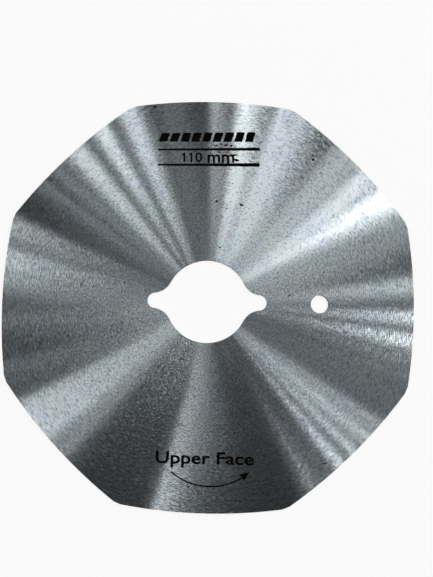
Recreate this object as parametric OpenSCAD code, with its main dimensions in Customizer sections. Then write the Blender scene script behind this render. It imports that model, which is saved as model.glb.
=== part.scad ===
// Eight-sided rotary cutter blade. It is a round blank, 110 mm across, with
// eight bowed cutting sides ground into its rim, so that each corner keeps a
// short length of the blank's own edge. It lies flat on its underside, with
// the marked face up. The origin is the centre of the hub bore on the
// underside, and the driving ears lie along X.

/* [Outline] */
// Diameter of the round blank, which the corners keep
blank_d = 110; // [100:0.5:130]
// Number of bowed cutting sides
side_count = 8; // [6:1:10]
// Radius of the bow of each side
bow_r = 130; // [100:5:200]
// Length of the blank's own edge left at each corner
corner_len = 2; // [1:0.25:4]

/* [Section] */
// Thickness of the ground sheet
blade_t = 1.2; // [0.8:0.1:2]
// Width of the cutting bevel on the underside
bevel_w = 2.4; // [1:0.1:3.5]
// Thickness left at the cutting edge, above the bevel
edge_t = 0.1; // [0.05:0.05:0.3]

/* [Hub bore] */
// Diameter of the round part of the bore
bore_d = 21.3; // [18:0.1:24]
// How far each driving ear reaches past the round part
ear_reach = 4.75; // [4:0.25:6]
// Width of each ear, which ends in a half circle
ear_w = 4; // [3.5:0.1:5]
// Radius of the fillets that lead from the bore into the ears
ear_fillet_r = 5; // [4:0.5:7]

/* [Pin hole] */
// Diameter of the locating pin's hole
pin_d = 4.6; // [3:0.1:6]
// Distance from the centre of the bore to the centre of the pin hole
pin_offset = 28.9; // [24:0.1:34]

/* [Hidden] */
// A bowed side is a short arc of a large circle, so it needs many segments
bow_segments = 720;
hole_segments = 96;
// Holes are cut this far past each face
overrun = 1;
// Round cuts that run into each other smoothly overlap by this hair
blend_overlap = 0.001;

side_step = 360 / side_count;
blank_r = blank_d / 2;

// The bow of a side ends on the blank's rim, half a corner length short of
// the corner's middle. That fixes how far behind the centre of the blade the
// centre of the bow lies.
bow_end_angle = side_step / 2 - asin(corner_len / 2 / blank_r);
bow_back = sqrt(pow(bow_r, 2) - pow(blank_r * sin(bow_end_angle), 2))
    - blank_r * cos(bow_end_angle);

bore_r = bore_d / 2;
ear_r = ear_w / 2;
ear_dist = bore_r + ear_reach - ear_r;
// The fillet circle touches the bore and the ear's end circle from outside
fillet_to_bore = bore_r + ear_fillet_r - blend_overlap;
fillet_to_ear = ear_r + ear_fillet_r - blend_overlap;
fillet_x = (pow(fillet_to_bore, 2) + pow(ear_dist, 2) - pow(fillet_to_ear, 2)) / (2 * ear_dist);
fillet_y = sqrt(pow(fillet_to_bore, 2) - pow(fillet_x, 2));

// Disc of one radius with the blade's edge: the bevel below, then the thin land
module edged_disc(r) {
    rotate_extrude($fn = bow_segments)
        polygon([
            [0, 0],
            [r - bevel_w, 0],
            [r, blade_t - edge_t],
            [r, blade_t],
            [0, blade_t]
        ]);
}

// The blank, ground to one bow after another round its rim. Each bow's disc
// is turned half round, which puts its seam on the far side of the blade.
module ground_blank() {
    intersection() {
        edged_disc(blank_r);
        intersection_for(i = [0 : side_count - 1])
            rotate([0, 0, i * side_step])
                translate([-bow_back, 0, 0])
                    rotate([0, 0, 180])
                        edged_disc(bow_r);
    }
}

module through_hole(r) {
    translate([0, 0, -overrun])
        cylinder(r = r, h = blade_t + 2 * overrun, $fn = hole_segments);
}

// Neck that leads from the round bore into the ear on the +X side, between
// the two posts that its fillets leave standing
module ear_neck() {
    difference() {
        translate([0, 0, -overrun])
            linear_extrude(blade_t + 2 * overrun)
                polygon([
                    [0, 0],
                    [fillet_x, -fillet_y],
                    [ear_dist, 0],
                    [fillet_x, fillet_y]
                ]);
        for (side = [-1, 1])
            translate([fillet_x, side * fillet_y, 0])
                through_hole(ear_fillet_r);
    }
}

module hub_bore() {
    through_hole(bore_r);
    for (turn = [0, 180])
        rotate([0, 0, turn]) {
            ear_neck();
            translate([ear_dist, 0, 0])
                rotate([0, 0, 180])
                    through_hole(ear_r);
        }
}

module blade() {
    color([0.56, 0.58, 0.6])
        difference() {
            ground_blank();
            hub_bore();
            translate([pin_offset, 0, 0])
                through_hole(pin_d / 2);
        }
}

blade();
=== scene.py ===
import math

import bpy
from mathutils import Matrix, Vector


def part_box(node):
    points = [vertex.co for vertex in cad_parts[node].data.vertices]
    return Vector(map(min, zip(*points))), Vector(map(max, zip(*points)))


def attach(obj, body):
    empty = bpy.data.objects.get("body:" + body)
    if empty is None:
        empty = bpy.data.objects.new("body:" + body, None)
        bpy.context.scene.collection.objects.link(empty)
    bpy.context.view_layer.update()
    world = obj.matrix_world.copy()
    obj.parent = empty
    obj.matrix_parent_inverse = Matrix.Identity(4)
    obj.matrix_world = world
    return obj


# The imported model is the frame: one flat disc of ground tool steel, marked
# face up, with its hub bore over the origin. Sizes below are in millimetres,
# turned into Blender's metres by MM.
MM = 0.001
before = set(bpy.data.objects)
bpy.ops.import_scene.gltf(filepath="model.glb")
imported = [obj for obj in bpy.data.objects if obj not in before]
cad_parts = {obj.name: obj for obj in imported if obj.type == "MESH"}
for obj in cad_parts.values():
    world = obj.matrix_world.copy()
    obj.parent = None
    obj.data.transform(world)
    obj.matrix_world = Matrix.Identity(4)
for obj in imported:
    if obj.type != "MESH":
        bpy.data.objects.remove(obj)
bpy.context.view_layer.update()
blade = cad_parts["blade"]
face_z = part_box("blade")[1].z
bpy.ops.object.select_all(action="DESELECT")


# The camera stands where the photograph was taken from: over the blade, a
# little towards its lower edge, leaning and turned by a few degrees.
CAMERA_FROM_FACE = Vector((4.99, -8.04, 138.63)) * MM
CAMERA_TURN = (math.radians(4.73), math.radians(0.94), math.radians(1.54))
LENS = 33.82
SENSOR = 36
NEAREST = 10 * MM

bpy.ops.object.camera_add(location=CAMERA_FROM_FACE + Vector((0, 0, face_z)))
camera = bpy.context.object
camera.name = "camera"
camera.rotation_euler = CAMERA_TURN
camera.data.lens = LENS
camera.data.sensor_width = SENSOR
camera.data.clip_start = NEAREST
bpy.context.scene.camera = camera


# The blade is a disc of hardened tool steel, ground flat on a rotary table,
# which leaves fine rings about the hub. They draw each lamp's reflection out
# into a streak from hub to rim: the sides of the rings tilt the face in and
# out, and hardly at all round the hub. By the size mark it is heat browned.
STEEL = (0.69, 0.78, 0.80, 1)
STEEL_COOL = (0.67, 0.75, 0.84, 1)
FULL_GRIND = 1
ROUGH_LEAST = 0.130
ROUGH_MOST = 0.138
RINGS_PER_MM = 22
RINGS_ROUND = 40
RING_TILT = 0.18
DASHES_PER_MM = 4.4
DASHES_ROUND = 44
DASH_SHADE = 0.50
DASH_SWAY = 0.02
GRAIN_PER_MM = 4.0
GRAIN_SHADE = 0.34
CLOUD_PER_MM = 0.08
SPECK_PER_MM = 0.55
SPECK_R = 0.16
SPECK_SHARE = 0.10
SPECK_SHADE = 0.35
NOISE_LOW, NOISE_HIGH = 0.25, 0.75
CLOUD_LOW, CLOUD_HIGH = 0.35, 0.65
WALL_BELOW, FACE_ABOVE = 0.3, 0.7
HEAT_BROWN = (0.50, 0.42, 0.33, 1)
HEAT_MIDDLE = (4.2, 38.3, 0)
HEAT_R = 5.5
HEAT_SHARE = 1.1
HEAT_PER_MM = 0.6


def finish(name):
    """A new material, its node tree and its shader."""
    material = bpy.data.materials.new(name)
    material.use_nodes = True
    return material, material.node_tree, material.node_tree.nodes["Principled BSDF"]


def feed(tree, socket, value):
    """Sets a socket to a value, or links another node's output to it."""
    if isinstance(value, bpy.types.NodeSocket):
        tree.links.new(value, socket)
    else:
        socket.default_value = value


def calc(tree, operation, first, second=0):
    """The result of one sum on two numbers."""
    node = tree.nodes.new("ShaderNodeMath")
    node.operation = operation
    feed(tree, node.inputs[0], first)
    feed(tree, node.inputs[1], second)
    return node.outputs[0]


def vector(tree, operation, first, second=(0, 0, 0)):
    """The result of one sum on two vectors."""
    node = tree.nodes.new("ShaderNodeVectorMath")
    node.operation = operation
    feed(tree, node.inputs[0], first)
    feed(tree, node.inputs[1], second)
    return node.outputs["Value" if operation == "LENGTH" else "Vector"]


def spread(tree, value, start, end, to_start, to_end):
    """The value carried from one range to another, and held at its ends."""
    node = tree.nodes.new("ShaderNodeMapRange")
    feed(tree, node.inputs["Value"], value)
    feed(tree, node.inputs["From Min"], start)
    feed(tree, node.inputs["From Max"], end)
    feed(tree, node.inputs["To Min"], to_start)
    feed(tree, node.inputs["To Max"], to_end)
    return node.outputs["Result"]


def mottle(tree, where, per_mm, detail=2, roughness=0.5):
    """Noise from 0 to 1, with so many blots to the millimetre."""
    node = tree.nodes.new("ShaderNodeTexNoise")
    feed(tree, node.inputs["Vector"], where)
    feed(tree, node.inputs["Scale"], per_mm / MM)
    feed(tree, node.inputs["Detail"], detail)
    feed(tree, node.inputs["Roughness"], roughness)
    return node.outputs[0]


def mixed(tree, share, first, second, way="MIX"):
    """Two colours mixed by a share, or one laid over the other."""
    node = tree.nodes.new("ShaderNodeMix")
    node.data_type = "RGBA"
    node.blend_type = way
    feed(tree, node.inputs[0], share)
    feed(tree, node.inputs[6], first)
    feed(tree, node.inputs[7], second)
    return node.outputs[2]


def rounds(tree, outward, height, turns):
    """A place in noise that closes on itself once round the hub."""
    scaled = vector(tree, "SCALE", outward)
    scaled.node.inputs["Scale"].default_value = turns
    parts = tree.nodes.new("ShaderNodeSeparateXYZ")
    joined = tree.nodes.new("ShaderNodeCombineXYZ")
    feed(tree, parts.inputs[0], scaled)
    feed(tree, joined.inputs["X"], parts.outputs["X"])
    feed(tree, joined.inputs["Y"], parts.outputs["Y"])
    feed(tree, joined.inputs["Z"], height)
    return joined.outputs[0]


steel, tree, shader = finish("ground_steel")
place = tree.nodes.new("ShaderNodeTexCoord").outputs["Object"]
flat_place = vector(tree, "MULTIPLY", place, (1, 1, 0))
radius = vector(tree, "LENGTH", flat_place)
outward = vector(tree, "NORMALIZE", flat_place)

dash_height = calc(tree, "MULTIPLY", radius, DASHES_PER_MM / MM)
dashes = mottle(tree, rounds(tree, outward, dash_height, DASHES_ROUND), MM, detail=2)
grain = mottle(tree, place, GRAIN_PER_MM, detail=1)
clouds = mottle(tree, place, CLOUD_PER_MM)

cells = tree.nodes.new("ShaderNodeTexVoronoi")
feed(tree, cells.inputs["Vector"], place)
feed(tree, cells.inputs["Scale"], SPECK_PER_MM / MM)
near_middle = calc(tree, "LESS_THAN", cells.outputs["Distance"], SPECK_R * SPECK_PER_MM)
cell_draw = tree.nodes.new("ShaderNodeSeparateColor")
feed(tree, cell_draw.inputs[0], cells.outputs["Color"])
chosen = calc(tree, "LESS_THAN", cell_draw.outputs[0], SPECK_SHARE)
speck = calc(tree, "MULTIPLY", near_middle, chosen)

grain_shade = spread(tree, grain, NOISE_LOW, NOISE_HIGH, 1 - GRAIN_SHADE, 1 + GRAIN_SHADE)
dash_shade = spread(tree, dashes, NOISE_LOW, NOISE_HIGH, 1 - DASH_SHADE, 1 + DASH_SHADE)
speck_shade = spread(tree, speck, 0, 1, 1, SPECK_SHADE)
cool_share = spread(tree, clouds, CLOUD_LOW, CLOUD_HIGH, 0, 1)
tint = mixed(tree, cool_share, STEEL, STEEL_COOL)

heat_middle = Vector(HEAT_MIDDLE) * MM
from_heat = vector(tree, "LENGTH", vector(tree, "SUBTRACT", flat_place, heat_middle))
heat = spread(tree, from_heat, 0, HEAT_R * MM, HEAT_SHARE, 0)
heat_patches = mottle(tree, place, HEAT_PER_MM, detail=4)
heated = mixed(tree, calc(tree, "MULTIPLY", heat, heat_patches), tint, HEAT_BROWN)
shaded = vector(tree, "SCALE", heated)
both_shades = calc(tree, "MULTIPLY", grain_shade, dash_shade)
feed(tree, shaded.node.inputs["Scale"], calc(tree, "MULTIPLY", both_shades, speck_shade))
feed(tree, shader.inputs["Base Color"], shaded)
rough = spread(tree, clouds, CLOUD_LOW, CLOUD_HIGH, ROUGH_LEAST, ROUGH_MOST)
feed(tree, shader.inputs["Roughness"], rough)
feed(tree, shader.inputs["Metallic"], 1)
feed(tree, shader.inputs["Anisotropic"], FULL_GRIND)



def turned(tree, direction, kind):
    """A direction on the piece, turned to match the world."""
    node = tree.nodes.new("ShaderNodeVectorTransform")
    node.vector_type = kind
    node.convert_from = "OBJECT"
    node.convert_to = "WORLD"
    feed(tree, node.inputs[0], direction)
    return node.outputs[0]


face_way = place.node.outputs["Normal"]
ring_height = calc(tree, "MULTIPLY", radius, RINGS_PER_MM / MM)
rings = mottle(tree, rounds(tree, outward, ring_height, RINGS_ROUND), MM, detail=1)
tilt = vector(tree, "SCALE", outward)
ring_side = spread(tree, rings, NOISE_LOW, NOISE_HIGH, -RING_TILT, RING_TILT)
feed(tree, tilt.node.inputs["Scale"], ring_side)
tilted = vector(tree, "NORMALIZE", vector(tree, "ADD", face_way, tilt))
feed(tree, shader.inputs["Normal"], turned(tree, tilted, "NORMAL"))

around = vector(tree, "CROSS_PRODUCT", (0, 0, 1), outward)
swayed = vector(tree, "SCALE", around)
sway = spread(tree, dashes, NOISE_LOW, NOISE_HIGH, -DASH_SWAY, DASH_SWAY)
feed(tree, swayed.node.inputs["Scale"], sway)
across_rings = vector(tree, "ADD", outward, swayed)
facing = tree.nodes.new("ShaderNodeSeparateXYZ")
feed(tree, facing.inputs[0], face_way)
upright = calc(tree, "ABSOLUTE", facing.outputs["Z"])
wall_share = spread(tree, upright, WALL_BELOW, FACE_ABOVE, 1, 0)
grind = tree.nodes.new("ShaderNodeMix")
grind.data_type = "VECTOR"
feed(tree, grind.inputs[0], wall_share)
feed(tree, grind.inputs[4], across_rings)
feed(tree, grind.inputs[5], (0, 0, 1))
feed(tree, shader.inputs["Tangent"], turned(tree, grind.outputs[1], "VECTOR"))
blade.material_slots[0].material = steel


# The marks on the upper face are burnt in by a laser. The burnt layer is dark
# brown, nearly black, and patchy where the grinding shows through it. First
# come the two rules, which climb a little and thicken to the right.
MARK_PROUD = 0.012
MARK_SUNK = 0.012
BURNT = (0.004, 0.003, 0.002, 1)
BURNT_THIN = (0.018, 0.014, 0.009, 1)
BURN_GLOSS = 0.08
BURN_PATCHES_PER_MM = 1.1
PATCH_LOW, PATCH_HIGH = 0.5, 0.8
BURN_ROUGH_MOST = 0.8
BURN_ROUGH_LEAST = 0.55
RULE_STEPS = 80
RULE_RAGGED = 0.05
RULES = {
    "upper_rule": {"left": (-13.9, 39.6), "right": (12.8, 40.25), "thin": 0.42, "thick": 0.85},
    "lower_rule": {"left": (-13.9, 35.5), "right": (12.8, 36.05), "thin": 0.45, "thick": 1.0},
}

burnt, tree, shader = finish("laser_burn")
place = tree.nodes.new("ShaderNodeTexCoord").outputs["Object"]
patches = mottle(tree, place, BURN_PATCHES_PER_MM, detail=4, roughness=0.65)
thin_share = spread(tree, patches, PATCH_LOW, PATCH_HIGH, 0, 1)
feed(tree, shader.inputs["Base Color"], mixed(tree, thin_share, BURNT, BURNT_THIN))
rough = spread(tree, patches, NOISE_LOW, NOISE_HIGH, BURN_ROUGH_MOST, BURN_ROUGH_LEAST)
feed(tree, shader.inputs["Roughness"], rough)
feed(tree, shader.inputs["Specular IOR Level"], BURN_GLOSS)


def edit_all():
    """Opens the active piece in edit mode, with everything selected."""
    bpy.ops.object.mode_set(mode="EDIT")
    bpy.ops.mesh.select_all(action="SELECT")


def pick(piece, wanted):
    """Selects the corners of the active piece whose place passes a test."""
    bpy.ops.mesh.select_all(action="DESELECT")
    bpy.ops.object.mode_set(mode="OBJECT")
    for corner in piece.data.vertices:
        corner.select = wanted(corner.co)
    bpy.ops.object.mode_set(mode="EDIT")


def stretch(across, along):
    """Resizes what is selected about the piece's own centre."""
    bpy.ops.transform.resize(value=(across, along, 1), center_override=(0, 0, 0))


def turn(angle):
    """Turns what is selected about the piece's own centre, anticlockwise."""
    bpy.ops.transform.rotate(value=-angle, orient_axis="Z", center_override=(0, 0, 0))


def shift(x, y):
    """Moves what is selected over the face, in millimetres."""
    bpy.ops.transform.translate(value=(x * MM, y * MM, 0))


def roughen(amount, seed):
    """Makes an outline ragged, and keeps it flat."""
    bpy.ops.transform.vertex_random(offset=amount * MM, uniform=1, normal=0, seed=seed)
    bpy.ops.transform.resize(value=(1, 1, 0), center_override=(0, 0, 0))


def lay_on_face(piece, name, middle, material):
    """Sets a flat outline into the face, thickens it and lets it ride."""
    bpy.ops.object.mode_set(mode="OBJECT")
    piece.name = name
    piece.data.name = name
    piece.location = (middle[0] * MM, middle[1] * MM, face_z - MARK_SUNK * MM)
    bpy.ops.object.transform_apply(location=True, rotation=True, scale=True)
    edit_all()
    rise = (0, 0, (MARK_PROUD + MARK_SUNK) * MM)
    bpy.ops.mesh.extrude_region_move(TRANSFORM_OT_translate={"value": rise})
    bpy.ops.mesh.select_all(action="SELECT")
    bpy.ops.mesh.normals_make_consistent(inside=False)
    bpy.ops.object.mode_set(mode="OBJECT")
    piece.data.materials.clear()
    piece.data.materials.append(material)
    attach(piece, "root")
    bpy.ops.object.select_all(action="DESELECT")


for seed, (name, rule) in enumerate(RULES.items()):
    left, right = Vector(rule["left"]), Vector(rule["right"])
    run = right - left
    bpy.ops.mesh.primitive_grid_add(x_subdivisions=RULE_STEPS, y_subdivisions=2, size=MM)
    piece = bpy.context.object
    edit_all()
    stretch(run.length, rule["thin"])
    pitch = run.length * MM / RULE_STEPS
    for step in range(RULE_STEPS + 1):
        column = (step - RULE_STEPS / 2) * pitch
        pick(piece, lambda corner: abs(corner.x - column) < pitch / 2)
        stretch(1, 1 + (rule["thick"] / rule["thin"] - 1) * step / RULE_STEPS)
    bpy.ops.mesh.select_all(action="SELECT")
    roughen(RULE_RAGGED, seed)
    turn(math.atan2(run.y, run.x))
    lay_on_face(piece, name, (left + right) / 2, burnt)


# Above the rules is a plain band of slanted bars, which climbs with them. It
# is burnt like the rules, and each bar is a little ragged at its edges.
BAR_COUNT = 9
BAND_LEFT = (-12.35, 42.95)
BAND_RIGHT = (10.2, 43.45)
BAR_WIDTH = 2.15
BAR_HEIGHT = 2.3
BAR_TALLER = 0.045
BAR_SLANT = 0.7
BAR_STEPS = 6
BAR_RAGGED = 0.06

for number in range(BAR_COUNT):
    share = number / (BAR_COUNT - 1)
    middle = Vector(BAND_LEFT).lerp(Vector(BAND_RIGHT), share)
    bpy.ops.mesh.primitive_grid_add(x_subdivisions=BAR_STEPS, y_subdivisions=BAR_STEPS, size=MM)
    piece = bpy.context.object
    edit_all()
    stretch(BAR_WIDTH, BAR_HEIGHT + BAR_TALLER * number)
    for step in range(BAR_STEPS + 1):
        row = (step / BAR_STEPS - 0.5) * (BAR_HEIGHT + BAR_TALLER * number) * MM
        pick(piece, lambda corner: abs(corner.y - row) < BAR_HEIGHT * MM / BAR_STEPS / 2)
        shift((step / BAR_STEPS - 0.5) * BAR_SLANT, 0)
    bpy.ops.mesh.select_all(action="SELECT")
    roughen(BAR_RAGGED, number)
    lay_on_face(piece, f"band_bar_{number + 1}", middle, burnt)


# The size of the blade, its diameter in millimetres, stands between the rules
# in plain figures, each 1 with a small flag. Lower down, bold plain words say
# which face is up.
WORDS = {
    "size_figures": {
        "says": "110",
        "middle": (-4.75, 37.72),
        "width": 4.9,
        "height": 2.6,
        "bold": 0.016,
        "climb": 1.5,
    },
    "size_unit": {
        "says": "mm",
        "middle": (2.65, 37.5),
        "width": 7.0,
        "height": 2.3,
        "bold": 0.018,
        "climb": 1.5,
    },
    "face_mark": {
        "says": "Upper Face",
        "middle": (0.6, -39.75),
        "width": 24.6,
        "height": 4.0,
        "bold": 0.02,
        "climb": 0.4,
    },
}
FLAG_MIDDLES = [(-7.2, 38.5), (-5.4, 38.55)]
FLAG_LENGTH = 0.95
FLAG_WIDTH = 0.32
FLAG_TURN = 38
FLAG_STEPS = 3

for name, words in WORDS.items():
    bpy.ops.object.text_add()
    piece = bpy.context.object
    piece.data.body = words["says"]
    piece.data.offset = words["bold"]
    piece.data.size = 1
    bpy.ops.object.convert(target="MESH")
    piece = bpy.context.object
    edit_all()
    bpy.ops.mesh.remove_doubles(threshold=MM)
    xs = [corner.co.x for corner in piece.data.vertices]
    ys = [corner.co.y for corner in piece.data.vertices]
    wide, high = max(xs) - min(xs), max(ys) - min(ys)
    bpy.ops.transform.translate(value=(-min(xs) - wide / 2, -min(ys) - high / 2, 0))
    stretch(words["width"] * MM / wide, words["height"] * MM / high)
    turn(math.radians(words["climb"]))
    lay_on_face(piece, name, words["middle"], burnt)

for number, middle in enumerate(FLAG_MIDDLES):
    bpy.ops.mesh.primitive_grid_add(x_subdivisions=FLAG_STEPS, y_subdivisions=2, size=MM)
    piece = bpy.context.object
    edit_all()
    stretch(FLAG_LENGTH, FLAG_WIDTH)
    turn(math.radians(FLAG_TURN))
    lay_on_face(piece, f"figure_flag_{number + 1}", middle, burnt)


# The laser burnt too deep by the unit, and left dark spatter round it: blots
# over the upper rule, and two short tails after the last letter. Each is given
# by its place, its length and width, and the way that it lies.
BLOT_CORNERS = 14
BLOT_RAGGED = 0.09
SPATTER = {
    "spatter_1": ((1.3, 40.95), 0.9, 0.45, 12),
    "spatter_2": ((2.6, 41.35), 0.8, 0.35, 160),
    "spatter_3": ((3.9, 41.15), 1.1, 0.4, 5),
    "spatter_4": ((5.3, 41.05), 0.8, 0.45, 30),
    "spatter_5": ((2.2, 39.25), 0.9, 0.4, 170),
    "spatter_6": ((4.4, 39.3), 0.7, 0.4, 15),
    "spatter_7": ((6.3, 38.55), 1.5, 0.45, 14),
    "spatter_8": ((6.7, 37.2), 1.6, 0.5, 166),
    "spatter_9": ((4.7, 36.35), 0.8, 0.4, 0),
    "spatter_10": ((0.7, 36.5), 0.6, 0.35, 90),
    "spatter_11": ((-0.1, 38.9), 0.6, 0.35, 40),
}

for seed, (name, (middle, length, width, lie)) in enumerate(SPATTER.items()):
    bpy.ops.mesh.primitive_circle_add(vertices=BLOT_CORNERS, radius=MM / 2, fill_type="NGON")
    piece = bpy.context.object
    edit_all()
    stretch(length, width)
    roughen(BLOT_RAGGED, seed)
    turn(math.radians(lie))
    lay_on_face(piece, name, middle, burnt)


# The arrow under the words shows which way the blade turns. A thin line runs
# on an arc about a point above it, and a solid head points up to the right.
ARC_CENTRE = (1.8, -30.9)
ARC_R = 15.3
ARC_FROM = -128.5
ARC_TO = -58
ARC_STEPS = 48
LINE_WIDTH = 0.34
LINE_RAGGED = 0.03
HEAD_MIDDLE = (10.95, -43.05)
HEAD_LENGTH = 2.5
HEAD_WIDTH = 2.0
HEAD_TURN = 39
HEAD_CUTS = 4

bpy.ops.mesh.primitive_plane_add(size=MM)
piece = bpy.context.object
edit_all()
stretch(LINE_WIDTH, 0)
bpy.ops.mesh.remove_doubles(threshold=LINE_WIDTH * MM / 10)
shift(ARC_R, 0)
turn(math.radians(ARC_FROM))
sweep = math.radians(ARC_TO - ARC_FROM)
bpy.ops.mesh.spin(steps=ARC_STEPS, angle=sweep, center=(0, 0, 0), axis=(0, 0, -1))
bpy.ops.mesh.select_all(action="SELECT")
roughen(LINE_RAGGED, 1)
lay_on_face(piece, "arrow_line", ARC_CENTRE, burnt)

bpy.ops.mesh.primitive_plane_add(size=MM)
piece = bpy.context.object
edit_all()
stretch(HEAD_LENGTH, HEAD_WIDTH)
pick(piece, lambda corner: corner.x > 0)
bpy.ops.mesh.merge(type="CENTER")
bpy.ops.mesh.select_all(action="SELECT")
bpy.ops.mesh.subdivide(number_cuts=HEAD_CUTS)
roughen(LINE_RAGGED, 2)
turn(math.radians(HEAD_TURN))
lay_on_face(piece, "arrow_head", HEAD_MIDDLE, burnt)


# Small rust pits and scratches are scattered over the face, where the steel
# has begun to stain. Each is given by its place, its length and width, and
# the way that it lies. One dark nick sits at the rim.
STAIN = (0.006, 0.005, 0.004, 1)
STAIN_EDGE = (0.05, 0.047, 0.045, 1)
STAIN_LOW, STAIN_HIGH = 0.4, 0.7
PIT_CORNERS = 14
PIT_RAGGED = 0.045
PITS = {
    "pit_1": ((8.3, 25.3), 1.15, 0.55, 154),
    "pit_2": ((1.8, 26.1), 0.8, 0.55, 48),
    "pit_3": ((26.7, 37.7), 0.7, 0.6, 164),
    "pit_4": ((3.0, 14.0), 0.65, 0.35, 162),
    "pit_5": ((4.6, 24.25), 0.45, 0.3, 0),
    "pit_6": ((-21.35, 4.3), 0.5, 0.32, 0),
    "pit_7": ((20.3, 17.2), 0.4, 0.3, 40),
    "pit_8": ((18.1, -33.9), 0.35, 0.3, 0),
    "pit_9": ((-3.3, -46.3), 0.75, 0.35, 20),
    "pit_10": ((26.6, 38.9), 0.4, 0.3, 90),
    "scratch_1": ((-32.55, 3.3), 1.3, 0.24, 76),
    "scratch_2": ((21.0, 2.05), 0.95, 0.3, 55),
    "scratch_3": ((-6.05, -14.8), 1.1, 0.26, 165),
    "scratch_4": ((30.6, -39.6), 1.0, 0.24, 5),
    "scratch_5": ((-14.0, -41.6), 0.6, 0.2, 90),
    "rim_nick": ((-15.2, 51.15), 1.0, 0.36, 8),
}

stained, tree, shader = finish("stained_pit")
place = tree.nodes.new("ShaderNodeTexCoord").outputs["Object"]
patches = mottle(tree, place, BURN_PATCHES_PER_MM * 2)
edge_share = spread(tree, patches, STAIN_LOW, STAIN_HIGH, 0, 1)
feed(tree, shader.inputs["Base Color"], mixed(tree, edge_share, STAIN, STAIN_EDGE))
rough = spread(tree, patches, NOISE_LOW, NOISE_HIGH, BURN_ROUGH_MOST, BURN_ROUGH_LEAST)
feed(tree, shader.inputs["Roughness"], rough)
feed(tree, shader.inputs["Specular IOR Level"], BURN_GLOSS)

for seed, (name, (middle, length, width, lie)) in enumerate(PITS.items()):
    bpy.ops.mesh.primitive_circle_add(vertices=PIT_CORNERS, radius=MM / 2, fill_type="NGON")
    piece = bpy.context.object
    edit_all()
    stretch(length, width)
    roughen(PIT_RAGGED, seed)
    turn(math.radians(lie))
    lay_on_face(piece, name, middle, stained)


# The floor is a plain pale surface that glows a little, as a light table does,
# and the blade lies flat on it. A wide round tent of plain cloth stands over
# them, dark overhead for the sake of the streaks and lit near the floor.
FLOOR_SIZE = 13
FLOOR_COLOUR = (0.5, 0.5, 0.5, 1)
FLOOR_GLOW = 0.84
TENT_R = 6.5
TENT_COLOUR = (0.78, 0.80, 0.84, 1)
TENT_GLOW = 0.84
TENT_LIGHT = 0.022
SKIRT_LIGHT = 0.45
SKIRT_LOW, SKIRT_HIGH = 0.15, 0.5
CLOTH_ROUGH = 0.9
PALE = (1, 1, 1, 1)


def pale_cloth(name, colour, glow):
    """A matt finish that glows as it is seen, with a socket for its light."""
    material, tree, shader = finish(name)
    to_camera = tree.nodes.new("ShaderNodeLightPath").outputs["Is Camera Ray"]
    light = spread(tree, to_camera, 0, 1, 0, glow)
    feed(tree, shader.inputs["Base Color"], colour)
    feed(tree, shader.inputs["Roughness"], CLOTH_ROUGH)
    feed(tree, shader.inputs["Emission Color"], PALE)
    feed(tree, shader.inputs["Emission Strength"], light)
    return material, tree, light.node.inputs["To Min"]


bpy.ops.mesh.primitive_plane_add(size=FLOOR_SIZE)
floor = bpy.context.object
floor.name = "floor"
pale_floor, tree, floor_light = pale_cloth("pale_floor", FLOOR_COLOUR, FLOOR_GLOW)
floor.data.materials.append(pale_floor)

bpy.ops.mesh.primitive_uv_sphere_add(radius=TENT_R)
tent = bpy.context.object
tent.name = "tent"
tent.visible_diffuse = False
tent.visible_shadow = False
tent_cloth, tree, tent_light = pale_cloth("tent_cloth", TENT_COLOUR, TENT_GLOW)
height = tree.nodes.new("ShaderNodeSeparateXYZ")
feed(tree, height.inputs[0], tree.nodes.new("ShaderNodeTexCoord").outputs["Object"])
skirt = (SKIRT_LOW * TENT_R, SKIRT_HIGH * TENT_R)
feed(tree, tent_light, spread(tree, height.outputs["Z"], *skirt, SKIRT_LIGHT, TENT_LIGHT))
tent.data.materials.append(tent_cloth)


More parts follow.
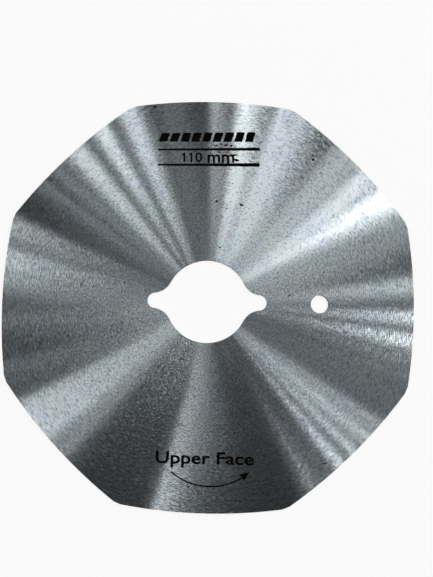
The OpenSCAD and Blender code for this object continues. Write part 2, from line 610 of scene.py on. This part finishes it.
# Soft strip lamps stand in a ring round the blade, each like a narrow upright
# window, and each draws a streak on either side of the hub. Each is given by
# its bearing, its lean from straight overhead and its width in degrees, and
# by its brightness.
LAMP_DISTANCE = 1.0
LAMP_LENGTH = 46
LAMPS = [
    (3, 45, 2, 2.5),
    (13, 40, 3, 1),
    (28, 35, 8, 0.25),
    (35, 45, 3, 1.5),
    (39, 45, 2, 4),
    (47, 35, 2, 2),
    (55, 25, 10, 0.4),
    (70, 25, 4, 0.5),
    (75, 25, 4, 1),
    (85, 30, 4, 1.25),
    (93, 25, 2, 0.75),
    (104, 25, 8, 0.1),
    (115, 35, 4, 0.75),
    (123, 40, 3, 1),
    (131, 35, 4, 0.75),
    (138, 25, 1, 0.5),
    (143, 25, 1, 0.5),
    (157, 45, 5, 0.5),
    (165, 45, 5, 0.75),
    (170, 30, 1, 1.25),
    (180, 30, 1, 0.5),
    (193, 35, 1, 0.5),
    (208, 35, 10, 0.6),
    (214, 45, 1, 1),
    (221, 45, 1, 0.75),
    (253, 25, 3, 1),
    (301, 45, 1, 0.75),
    (303, 45, 8, 0.25),
    (312, 40, 2, 1.5),
    (318, 35, 1, 1.5),
    (324, 30, 1, 1.5),
    (329, 25, 4, 0.4),
    (337, 25, 10, 0.1),
    (346, 35, 3, 0.25),
    (351, 40, 1, 1),
    (356, 45, 3, 2),
]

for number, (bearing, lean, width, glow) in enumerate(LAMPS):
    bearing = math.radians(bearing)
    lean = math.radians(lean)
    way = Vector((math.sin(lean) * math.cos(bearing), math.sin(lean) * math.sin(bearing), math.cos(lean)))
    bpy.ops.object.light_add(type="AREA", location=way * LAMP_DISTANCE)
    lamp = bpy.context.object
    lamp.name = f"strip_lamp_{number + 1}"
    lamp.rotation_euler = way.to_track_quat("Z", "Y").to_euler()
    lamp.data.shape = "RECTANGLE"
    lamp.data.size = LAMP_DISTANCE * math.sin(lean) * math.radians(width)
    lamp.data.size_y = LAMP_DISTANCE * math.radians(LAMP_LENGTH)
    lamp.data.energy = glow / STEEL[1] * math.pi * lamp.data.size * lamp.data.size_y

world = bpy.data.worlds.new("studio")
bpy.context.scene.world = world
world.use_nodes = True
feed(world.node_tree, world.node_tree.nodes["Background"].inputs["Strength"], 0)
bpy.context.scene.view_settings.view_transform = "Standard"
